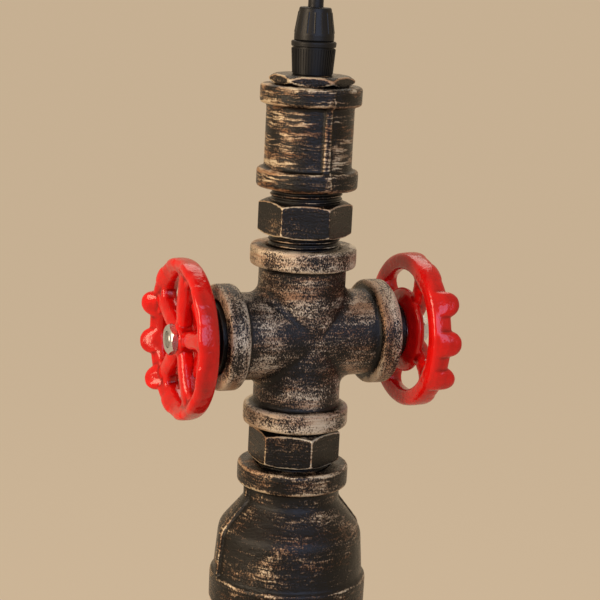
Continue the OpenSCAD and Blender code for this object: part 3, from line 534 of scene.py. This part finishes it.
@dataclass(frozen=True)
class GlossEnamel:
    """Stoving enamel on a cast wheel.

    It gives the eye a thick, glossy and slightly wavy red, in which lamps show as soft spots, and which turns
    deeper in corners, partly where the enamel lies thick and partly as painted shade.

    Attributes:
        name: the material's name.
        red: its colour on flats and edges.
        deep: its colour in corners, partly thick enamel and partly painted shade.
    """

    name: str = "gloss_red_stoving_enamel"
    red: str = "#EC130E"
    deep: str = "#9A0806"

    def make(self) -> bpy.types.Material:
        """Builds the material.

        Returns:
            The enamel.
        """
        material, tree = blank(self.name)
        mm = millimetres(tree)
        wear = put(tree, "Attribute", attribute_name="wear").outputs["Fac"]
        # Corners turn deep red, partly as thick enamel and partly as painted shade
        pooled_and_shaded = put(tree, "MapRange", {"Value": wear, "From Min": 0.62, "From Max": 0.3},
                     interpolation_type="SMOOTHSTEP")
        # The enamel's thickness changes over about 7 mm, the width of the rim
        cloud = put(tree, "TexNoise", {"Vector": mm, "Scale": 0.14, "Detail": 2.0})
        share = put(tree, "Math", {0: pooled_and_shaded, 1: 0.75, 2: cloud}, operation="MULTIPLY_ADD")
        share = put(tree, "MapRange", {"Value": share, "From Min": 0.4, "From Max": 1.2})
        colour = put(tree, "Mix", {0: share, 6: linear(self.red), 7: linear(self.deep)}, data_type="RGBA")
        # Orange peel of sprayed enamel, whose waves are about 2.5 mm across
        peel = put(tree, "TexNoise", {"Vector": mm, "Scale": 0.4, "Detail": 2.0, "Roughness": 0.5})
        bump = put(tree, "Bump", {"Strength": 0.6, "Distance": 0.4 * MM, "Height": peel})
        close(tree, {"Base Color": colour.outputs[2], "Roughness": 0.18, "IOR": 1.45, "Normal": bump})
        return material


@dataclass(frozen=True)
class BrightMetal:
    """Bright metal from the lathe or the plating bath.

    It gives the eye a clear metal with a fine satin scatter, small dull spots and hair scratches.

    Attributes:
        name: the material's name.
        colour: the metal's colour.
        dull: the colour of its dull spots.
        rough: its roughness between the spots.
    """

    name: str
    colour: str
    dull: str
    rough: float

    def make(self) -> bpy.types.Material:
        """Builds the material.

        Returns:
            The plated metal.
        """
        material, tree = blank(self.name)
        mm = millimetres(tree)
        # Dull spots about 1.4 mm across, as handling leaves them
        spots = put(tree, "TexNoise", {"Vector": mm, "Scale": 0.7, "Detail": 4.0, "Roughness": 0.6})
        share = put(tree, "MapRange", {"Value": spots, "From Min": 0.42, "From Max": 0.72})
        colour = put(tree, "Mix", {0: share, 6: linear(self.colour), 7: linear(self.dull)}, data_type="RGBA")
        rough = put(tree, "MapRange", {"Value": spots, "From Min": 0.3, "From Max": 0.7,
                                       "To Min": self.rough - 0.06, "To Max": self.rough + 0.14})
        scratches = put(tree, "TexNoise", {"Vector": mm, "Scale": 6.0, "Detail": 2.0})
        bump = put(tree, "Bump", {"Strength": 0.1, "Distance": 0.02 * MM, "Height": scratches})
        close(tree, {"Base Color": colour.outputs[2], "Metallic": 1.0, "Roughness": rough, "Normal": bump})
        return material


@dataclass(frozen=True)
class Moulding:
    """Moulded plastic, glazed porcelain or sprayed powder paint.

    It gives the eye one body colour, faintly mottled, with a fine skin that breaks its gloss.

    Attributes:
        name: the material's name.
        colour: the body colour.
        second: the colour that it is mottled with.
        rough: its roughness.
        grain_mm: size of the skin's grain.
        relief_mm: height of that grain.
        coat: weight of a glaze.
        ior: refractive index.
        specular: strength of its gloss.
    """

    name: str
    colour: str
    second: str
    rough: float
    grain_mm: float = 0.4
    relief_mm: float = 0.03
    coat: float = 0.0
    ior: float = 1.5
    specular: float = 0.3

    def make(self) -> bpy.types.Material:
        """Builds the material.

        Returns:
            The finish.
        """
        material, tree = blank(self.name)
        mm = millimetres(tree)
        # Flow marks of the mould or the spray gun, about 8 mm across
        cloud = put(tree, "TexNoise", {"Vector": mm, "Scale": 0.12, "Detail": 3.0})
        share = put(tree, "MapRange", {"Value": cloud, "From Min": 0.35, "From Max": 0.7})
        colour = put(tree, "Mix", {0: share, 6: linear(self.colour), 7: linear(self.second)},
                     data_type="RGBA")
        skin = put(tree, "TexNoise", {"Vector": mm, "Scale": 1 / self.grain_mm, "Detail": 2.0})
        rough = put(tree, "MapRange", {"Value": skin, "From Min": 0.3, "From Max": 0.7,
                                       "To Min": self.rough - 0.05, "To Max": self.rough + 0.08})
        bump = put(tree, "Bump", {"Strength": 0.4, "Distance": self.relief_mm * MM, "Height": skin})
        close(tree, {"Base Color": colour.outputs[2], "Roughness": rough, "IOR": self.ior, "Normal": bump,
                     "Specular IOR Level": self.specular, "Coat Weight": self.coat, "Coat Roughness": 0.06})
        return material


# View and studio

@dataclass
class Viewpoint:
    """The place from which the photograph was taken, fitted to the round bands of the pipe fittings.

    Attributes:
        focal_px: focal length in pixels of the photograph.
        distance: from the camera to the middle of the cross.
        pitch_deg: how far the camera looks down.
        roll_deg: how far it is tilted sideways.
        yaw_deg: how far round the object it stands, to the left.
        centre_px: where the middle of the cross is in the photograph.
        centre_z: height of the middle of the cross.
        image_px: the photograph's width and height.
        sensor: width of the camera's sensor.
        clip: nearest and furthest distance that the camera sees, in metres.
    """

    focal_px: float = 1737.0
    distance: float = 637.8
    pitch_deg: float = 11.69
    roll_deg: float = 2.91
    yaw_deg: float = 23.3
    centre_px: tuple[float, float] = (299.05, 334.8)
    centre_z: float = -268.9
    image_px: float = 600.0
    sensor: float = 36.0
    clip: tuple[float, float] = (0.01, 50.0)

    def build(self) -> None:
        """Makes the camera."""
        pitch, roll = math.radians(self.pitch_deg), math.radians(self.roll_deg)
        ahead = Vector((0, math.cos(pitch), -math.sin(pitch)))
        level = Vector((1, 0, 0))
        over = level.cross(ahead)
        right = level * math.cos(roll) + over * math.sin(roll)
        up = over * math.cos(roll) - level * math.sin(roll)
        middle = self.image_px / 2
        aside = (self.centre_px[0] - middle) / self.focal_px * self.distance
        below = (self.centre_px[1] - middle) / self.focal_px * self.distance
        place = -(ahead * self.distance + right * aside - up * below)
        turn = Matrix.Rotation(-math.radians(self.yaw_deg), 3, "Z")
        ahead, right, up, place = turn @ ahead, turn @ right, turn @ up, turn @ place
        place.z += self.centre_z
        data = bpy.data.cameras.new("photo_view")
        data.sensor_width = self.sensor
        data.lens = self.focal_px / self.image_px * self.sensor
        data.clip_start, data.clip_end = self.clip
        camera = add("photo_view", data)
        camera.matrix_world = Matrix([
            (right[k], up[k], -ahead[k], place[k] * MM) for k in range(3)] + [(0, 0, 0, 1)])
        bpy.context.scene.camera = camera


@dataclass(frozen=True)
class SoftLamp:
    """One large soft lamp of the studio, given by where it hangs as seen from the object.

    Attributes:
        name: the lamp's name.
        azimuth_deg: its direction, from 0 at the front to 90 at the right.
        elevation_deg: its direction above the level.
        distance: its distance in metres.
        size: its width and height in metres.
        level: the light it gives, where at 1 a surface that faces it renders in the colour it is written in.
        colour: the light's colour.
    """

    name: str
    azimuth_deg: float
    elevation_deg: float
    distance: float
    size: tuple[float, float]
    level: float
    colour: str

    def build(self, aim: Vector) -> None:
        """Makes the lamp.

        Args:
            aim: the point that it shines at.
        """
        turned, above = math.radians(self.azimuth_deg), math.radians(self.elevation_deg)
        away = Vector((math.sin(turned) * math.cos(above), -math.cos(turned) * math.cos(above),
                       math.sin(above)))
        data = bpy.data.lights.new(self.name, "AREA")
        data.shape, (data.size, data.size_y) = "RECTANGLE", self.size
        # A lamp of this power sends light of level times pi to the object
        data.energy = self.level * (math.pi * self.distance) ** 2
        data.color = linear(self.colour)[:3]
        lamp = add(self.name, data)
        lamp.location = aim + away * self.distance
        lamp.rotation_euler = (-away).to_track_quat("-Z", "Y").to_euler()


@dataclass
class Studio:
    """A plain pale floor far below the hanging lamp, a pale room and soft lamps.

    Attributes:
        floor_z: height of the floor in metres, which stays clear of the lamp.
        floor_size: width of the floor in metres, so wide that its end lies at the horizon.
        pale: colour of the floor and of the room behind the object.
        room: colour of the light that comes from all round.
        room_level: strength of that light.
        own_light: share of the floor's seen colour that lamps don't change, so that it joins the room behind.
            The rest keeps the object's shadow.
        own_level: strength of that share.
        aim: the point that the lamps shine at in metres, the middle of the cross.
        lamps: the soft lamps.
    """

    floor_z: float = -0.9
    floor_size: float = 160.0
    pale: str = "#CDB698"
    room: str = "#F3EEE6"
    room_level: float = 0.3
    own_light: float = 0.75
    own_level: float = 1.15
    aim: tuple[float, float, float] = (0.0, 0.0, -0.26)
    lamps: tuple[SoftLamp, ...] = (
        SoftLamp("window", -4.0, 22.0, 1.6, (1.3, 1.2), 0.62, "#B0CCFF"),
        SoftLamp("left_light", -80.0, 14.0, 1.3, (0.5, 0.9), 0.85, "#FFE6C6"),
        SoftLamp("back_light", 160.0, 50.0, 1.6, (1.0, 1.0), 0.3, "#FFF6EA"),
    )

    def lay_floor(self) -> None:
        """Makes the floor, which isn't part of the object."""
        half = self.floor_size / 2
        mesh = bpy.data.meshes.new("floor")
        mesh.from_pydata([(-half, -half, self.floor_z), (half, -half, self.floor_z),
                          (half, half, self.floor_z), (-half, half, self.floor_z)], [], [(0, 1, 2, 3)])
        floor = add("floor", mesh)
        material, tree = blank("pale_paper_floor")
        share = put(tree, "Math", {0: background_rays(tree), 1: self.own_light}, operation="MULTIPLY")
        paper = put(tree, "BsdfDiffuse", {"Color": linear(self.pale)})
        flat = put(tree, "Emission", {"Color": linear(self.pale), "Strength": self.own_level})
        both = put(tree, "MixShader", {0: share, 1: paper, 2: flat})
        put(tree, "OutputMaterial", {"Surface": both})
        dress(floor, material)

    def light_room(self) -> None:
        """Makes the world, which lights the object evenly and shows the pale colour behind it."""
        world = bpy.data.worlds.new("pale_room")
        world.use_nodes = True
        tree = world.node_tree
        tree.nodes.clear()
        light = put(tree, "Background", {"Color": linear(self.room), "Strength": self.room_level})
        view = put(tree, "Background", {"Color": linear(self.pale), "Strength": 1.0})
        both = put(tree, "MixShader", {0: background_rays(tree), 1: light, 2: view})
        put(tree, "OutputWorld", {"Surface": both})
        bpy.context.scene.world = world

    def build(self) -> None:
        """Makes the floor, the room and the lamps."""
        self.lay_floor()
        self.light_room()
        for lamp in self.lamps:
            lamp.build(Vector(self.aim))
        bpy.context.scene.view_settings.view_transform = "Standard"


# The lamp's pieces

@dataclass
class PendantCord:
    """The round cord on which the lamp hangs, from inside its own grip to inside the ceiling rose.

    Attributes:
        diameter: across the sheath.
        length: along the cord; not used.
        leaves_at: where it leaves the lamp's grip; not used.
        route: the points that it follows, as in the CAD, from the lamp up.
        rounding: how finely the cord's section is rounded.
        sheath: finish of the cord.
    """

    diameter: float = 5.5
    length: float = 154.0
    leaves_at: tuple[float, float, float] = (0.0, 0.0, -151.0)
    route: tuple[tuple[float, float, float], ...] = (
        (0, 0, -177), (0, 0, -166), (0, 0, -155), (0, 0, -144), (0.1, 0, -133), (0.2, 0, -122),
        (0.3, 0, -111), (0.3, 0, -100), (0.3, 0, -89), (0.2, 0, -78), (0.1, 0, -67), (0, 0, -56),
        (0, 0, -45), (0, 0, -34), (0, 0, -23))
    rounding: int = 6
    sheath: Moulding = Moulding("black_pvc_sheath", "#0B0B0C", "#131314", 0.46, 0.6, 0.02)

    def build(self) -> None:
        """Makes the cord as one open curve."""
        curve = bpy.data.curves.new("cord", "CURVE")
        curve.dimensions, curve.use_fill_caps = "3D", True
        curve.bevel_depth, curve.bevel_resolution = self.diameter / 2 * MM, self.rounding
        line = curve.splines.new("POLY")
        line.points.add(len(self.route) - 1)
        for point, (x, y, z) in zip(line.points, self.route):
            point.co = (x * MM, y * MM, z * MM, 1.0)
        cord = add("cord", curve)
        curve.materials.append(self.sheath.make())
        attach(cord, "pipework")
        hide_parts("pendant_cord")


@dataclass
class PipeStack:
    """The cast fittings of the body: bush, straight socket, nipples, cross and reducing socket.

    Attributes:
        thread_d: diameter of the pipe thread.
        thread_pitch: its pitch.
        thread_depth: depth of its roots.
        thread_reach: how far from its middle diameter a surface counts as thread.
        thread_wear: wear at its roots and at its crests.
        flat_wear: wear on a flat surface.
        body_d: diameter of a fitting's pipe between its bands.
        arm_starts: distance from the cross's middle at which its arms are clear of its body.
        nook_reach: rounds of averaging for the corners that the brush missed, which are darkened partly as
            painted shade.
        skin: height of a sand casting's skin.
        seam_x: where the mould's parting line runs on the straight socket's front.
        seam_half: half the line's width.
        seam_stands: how far it stands out.
    """

    thread_d: float = 26.44
    thread_pitch: float = 1.814
    thread_depth: float = 0.9
    thread_reach: float = 0.7
    thread_wear: tuple[float, float] = (0.12, 0.68)
    flat_wear: float = 0.5
    body_d: float = 32.0
    arm_starts: float = 24.0
    nook_reach: int = 14
    skin: float = 0.05
    seam_x: float = 1.3
    seam_half: float = 0.55
    seam_stands: float = 0.25

    def cut_thread(self, piece: bpy.types.Object) -> None:
        """Turns the pipe thread into a nipple's plain ends, with worn crests and roots darkened partly as
        unbrushed black and partly as painted shade.

        Args:
            piece: the nipple.
        """
        mesh = piece.data
        points, wear = points_of(mesh), map_of(mesh, "wear")
        out = np.hypot(points[:, 0], points[:, 1])
        turn = np.arctan2(points[:, 1], points[:, 0]) / (2 * math.pi)
        # The relaxing leaves the plain ends a little under their radius, and the hexagon is well outside it
        on_thread = np.abs(out - self.thread_d / 2 + 0.25) < self.thread_reach
        crest = np.abs((points[:, 2] / self.thread_pitch - turn) % 1.0 - 0.5) * 2
        shrink = 1 - np.where(on_thread, (1 - crest) * self.thread_depth, 0.0) / np.maximum(out, 1)
        points[:, :2] *= shrink[:, None]
        root_wear, crest_wear = self.thread_wear
        # Low wear at the roots darkens them, partly as unbrushed black and partly as painted shade
        write_map(mesh, "wear", np.where(on_thread, root_wear + (crest_wear - root_wear) * crest, wear))
        move_points(mesh, points)

    def mark_bands(self, piece: bpy.types.Object, middle_z: float) -> None:
        """Marks the thick bands at a fitting's mouths, which took their own share of bronze.

        Args:
            piece: the fitting.
            middle_z: height of its level arm's axis.
        """
        mesh = piece.data
        # The map rises over the first millimetre above the pipe's own surface
        write_map(mesh, "band", self.from_axes(points_of(mesh), middle_z) - self.body_d / 2 - 0.4)
        # The brush reached the shallow hollows of these fittings, so only the map nook keeps them dark,
        # partly as unbrushed black and partly as painted shade
        write_map(mesh, "wear", np.maximum(map_of(mesh, "wear"), self.flat_wear))

    def raise_seam(self, piece: bpy.types.Object, middle_z: float) -> None:
        """Raises the mould's parting line, a worn hair of metal at one edge of the front rib.

        Args:
            piece: the straight socket.
            middle_z: height of its middle.
        """
        mesh = piece.data
        points = points_of(mesh)
        waver = 0.25 * np.sin(points[:, 2] * 1.3) + 0.15 * np.sin(points[:, 2] * 3.1)
        ridge = np.clip(1 - np.abs(points[:, 0] - self.seam_x - waver) / self.seam_half, 0, 1)
        ridge *= (points[:, 1] < 0) & (self.from_axes(points, middle_z) < self.body_d / 2 + 6)
        write_map(mesh, "wear", np.maximum(map_of(mesh, "wear"), self.flat_wear + 0.5 * ridge))
        points[:, 1] -= self.seam_stands * ridge
        move_points(mesh, points)

    @staticmethod
    def from_axes(points: np.ndarray, middle_z: float) -> np.ndarray:
        """Measures how far points are from the nearer axis of a fitting.

        Args:
            points: the points.
            middle_z: height of the level axis.

        Returns:
            The distance from the upright or the level axis, whichever is smaller.
        """
        upright = np.hypot(points[:, 0], points[:, 1])
        return np.minimum(upright, np.hypot(points[:, 1], points[:, 2] - middle_z))

    def build(self) -> None:
        """Makes the castings, each on the pipework."""
        round_pipe = Brushing.ROUND_THE_PIPE
        cross = DryBrushedIron(
            "dry_brushed_iron_cross", round_pipe, 0.005, 0.3, rubbed=0.05, on_bands=0.06, span=0.22,
            arms_from_mm=self.arm_starts, speck_mm=0.48,
            paints=("#0D0C0B", "#1A1715", "#4C3E31", "#91795F", "#D9C7A8")).make()
        coupling = DryBrushedIron("dry_brushed_iron_coupling", round_pipe, 0.0, 1.1, rubbed=0.18,
                                  on_bands=-0.1).make()
        hexagon = DryBrushedIron("dry_brushed_iron_hexagon", round_pipe, -0.1, 0.6, rubbed=0.46,
                                 edge_from=0.55, edge_to=0.72).make()
        reducer = DryBrushedIron("dry_brushed_iron_reducer", round_pipe, -0.07, 0.6, rubbed=0.18,
                                 span=0.24).make()
        bush_cast = Casting(0.4, 2, 6, self.nook_reach)
        nipple_cast = Casting(0.35, 1, 6, self.nook_reach)
        plan = (
            ("reducing_bush", "bush", bush_cast, hexagon),
            ("straight_socket", "coupling", Casting(0.5, 2, 10, self.nook_reach, self.skin), coupling),
            ("upper_nipple", "hexagon_above", nipple_cast, hexagon),
            ("cross_fitting", "cross", Casting(0.54, 3, 10, self.nook_reach, self.skin), cross),
            ("lower_nipple", "hexagon_below", nipple_cast, hexagon),
            ("reducing_socket", "reducer", Casting(0.5, 3, 10, self.nook_reach, self.skin), reducer),
        )
        for node, name, cast, finish in plan:
            piece = cast.build(node, name)
            low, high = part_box(node)
            middle_z = (low[2] + high[2]) / 2 / MM
            if cast is nipple_cast:
                self.cut_thread(piece)
            if name in ("coupling", "cross"):
                self.mark_bands(piece, middle_z)
            if name == "coupling":
                self.raise_seam(piece, middle_z)
            dress(piece, finish)
            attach(piece, "pipework")
            log.info("%s: %d faces", name, len(piece.data.polygons))


@dataclass(frozen=True)
class Metals:
    """The bright metals, which several sub-assemblies share.

    Attributes:
        zinc: finish of the plated nuts, washers, clips, plates and screws.
        steel: finish of the stems.
        brass: finish of the hollow rod and the contacts.
    """

    zinc: bpy.types.Material
    steel: bpy.types.Material
    brass: bpy.types.Material


@dataclass
class HandValve:
    """One wheel with its nut, washer, stem, clip and plug.

    Attributes:
        side: the end of the level arm that it sits on.
        cast: how the wheel is meshed.
        fill: how far the enamel swells a spoke.
        hub_r: radius at which the spokes begin.
        rim_inside_r: radius at which they end.
    """

    side: Side
    cast: Casting = Casting(0.4, 7, 12, plump_mm=0.4)
    fill: float = 0.35
    hub_r: float = 8.0
    rim_inside_r: float = 23.0

    def fill_spokes(self, wheel: bpy.types.Object) -> None:
        """Swells the spokes between hub and rim, where the enamel lies thick and rounds the windows.

        Args:
            wheel: the wheel.
        """
        points = points_of(wheel.data)
        low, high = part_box(f"{self.side.word}_handwheel")
        out = np.hypot(points[:, 1], points[:, 2] - (low[2] + high[2]) / 2 / MM)
        # The swelling grows over 3 mm from the hub and dies away over 4 mm into the rim
        share = np.clip((out - self.hub_r) / 3, 0, 1) * np.clip((self.rim_inside_r + 2 - out) / 4, 0, 1)
        move_points(wheel.data, points + normals_of(wheel.data) * (self.fill * share)[:, None])

    def build(self, enamel: bpy.types.Material, metals: Metals, paint: bpy.types.Material) -> None:
        """Makes the wheel and dresses the pieces that hold it.

        Args:
            enamel: the wheel's finish.
            metals: the finishes of the nut, washer, clip and stem.
            paint: the plug's finish.
        """
        word = self.side.word
        wheel = self.cast.build(f"{word}_handwheel", f"{word}_wheel")
        self.fill_spokes(wheel)
        dress(wheel, enamel)
        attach(wheel, f"{word}_wheel")
        dress_nodes(metals.zinc, f"{word}_nut", f"{word}_washer", f"{word}_clip")
        dress_nodes(metals.steel, f"{word}_stem")
        dress_nodes(paint, f"{word}_plug")
        log.info("%s: %d faces", wheel.name, len(wheel.data.polygons))


@dataclass
class CordGrips:
    """The two nylon cord grips, one under the ceiling rose and one on top of the lamp.

    Attributes:
        nylon: finish of all their pieces.
    """

    nylon: Moulding = Moulding("black_nylon", "#080808", "#101010", 0.44, 0.3, 0.015)

    def build(self) -> None:
        """Dresses the grips."""
        dress_nodes(self.nylon.make(), "rose_grip_body", "rose_grip_nut", "rose_grip_jaw", "rose_grip_cap",
                    "lamp_grip_cap", "lamp_grip_jaw", "lamp_grip_body")


@dataclass
class CeilingRose:
    """The rose with its strap, side screws and terminal block.

    Attributes:
        powder_coat: finish of the rose and its side screws.
        block: finish of the terminal block.
    """

    powder_coat: Moulding = Moulding("satin_black_powder_coat", "#151413", "#1E1C1A", 0.36, 0.5, 0.03)
    block: Moulding = Moulding("moulded_nylon_white", "#E4E1D6", "#ECEAE2", 0.4)

    def build(self, metals: Metals) -> None:
        """Dresses the rose's pieces.

        Args:
            metals: the finishes, of which the strap and the terminal screws take the zinc.
        """
        dress_nodes(self.powder_coat.make(), "ceiling_rose", "side_screws")
        dress_nodes(self.block.make(), "terminal_block")
        dress_nodes(metals.zinc, "ceiling_strap", "terminal_screws")


@dataclass
class Lampholder:
    """The lampholder with the hollow rod that carries it.

    Attributes:
        porcelain: finish of its body.
    """

    porcelain: Moulding = Moulding("glazed_porcelain", "#E9E5DB", "#F1EEE6", 0.16, 1.2, 0.02, 0.6, 1.55)

    def build(self, metals: Metals) -> None:
        """Dresses the holder's pieces.

        Args:
            metals: the finishes of its contacts, its rod and its fixings.
        """
        dress_nodes(self.porcelain.make(), "lampholder_body")
        dress_nodes(metals.brass, "hollow_rod", "screw_shell", "centre_contact", "contact_screws")
        dress_nodes(metals.zinc, "rod_washer", "rod_nuts", "earth_tag", "holder_bridge", "bridge_screws")


@dataclass
class Wiring:
    """The single cores inside the rose and the lamp.

    Attributes:
        brown: finish of the live and neutral cores.
        green: finish of the earth core.
    """

    brown: Moulding = Moulding("brown_pvc_core", "#5B2E17", "#66351C", 0.4)
    green: Moulding = Moulding("green_yellow_pvc_core", "#3F7A1E", "#C9B832", 0.4)

    def build(self) -> None:
        """Dresses the cores."""
        dress_nodes(self.brown.make(), "rose_cores", "lamp_cores")
        dress_nodes(self.green.make(), "earth_core")


def main() -> None:
    """Builds the lamp's looks in order: camera and cord, studio, then the pieces from the pipes outwards."""
    Viewpoint().build()
    PendantCord().build()
    Studio().build()
    PipeStack().build()
    metals = Metals(BrightMetal("bright_zinc_plate", "#E2E4E6", "#C0C2C3", 0.24).make(),
                    BrightMetal("turned_steel", "#B4B5B4", "#7E7F7D", 0.3).make(),
                    BrightMetal("turned_brass", "#D2AE62", "#A07F3C", 0.24).make())
    enamel = GlossEnamel().make()
    plug_paint = DryBrushedIron("dry_brushed_iron_plug", Brushing.ROUND_THE_ARM, -0.12, 0.5).make()
    for side in Side:
        HandValve(side).build(enamel, metals, plug_paint)
    CordGrips().build()
    CeilingRose().build(metals)
    Lampholder().build(metals)
    Wiring().build()


if __name__ == "__main__":
    logging.basicConfig(level=logging.INFO)
    main()
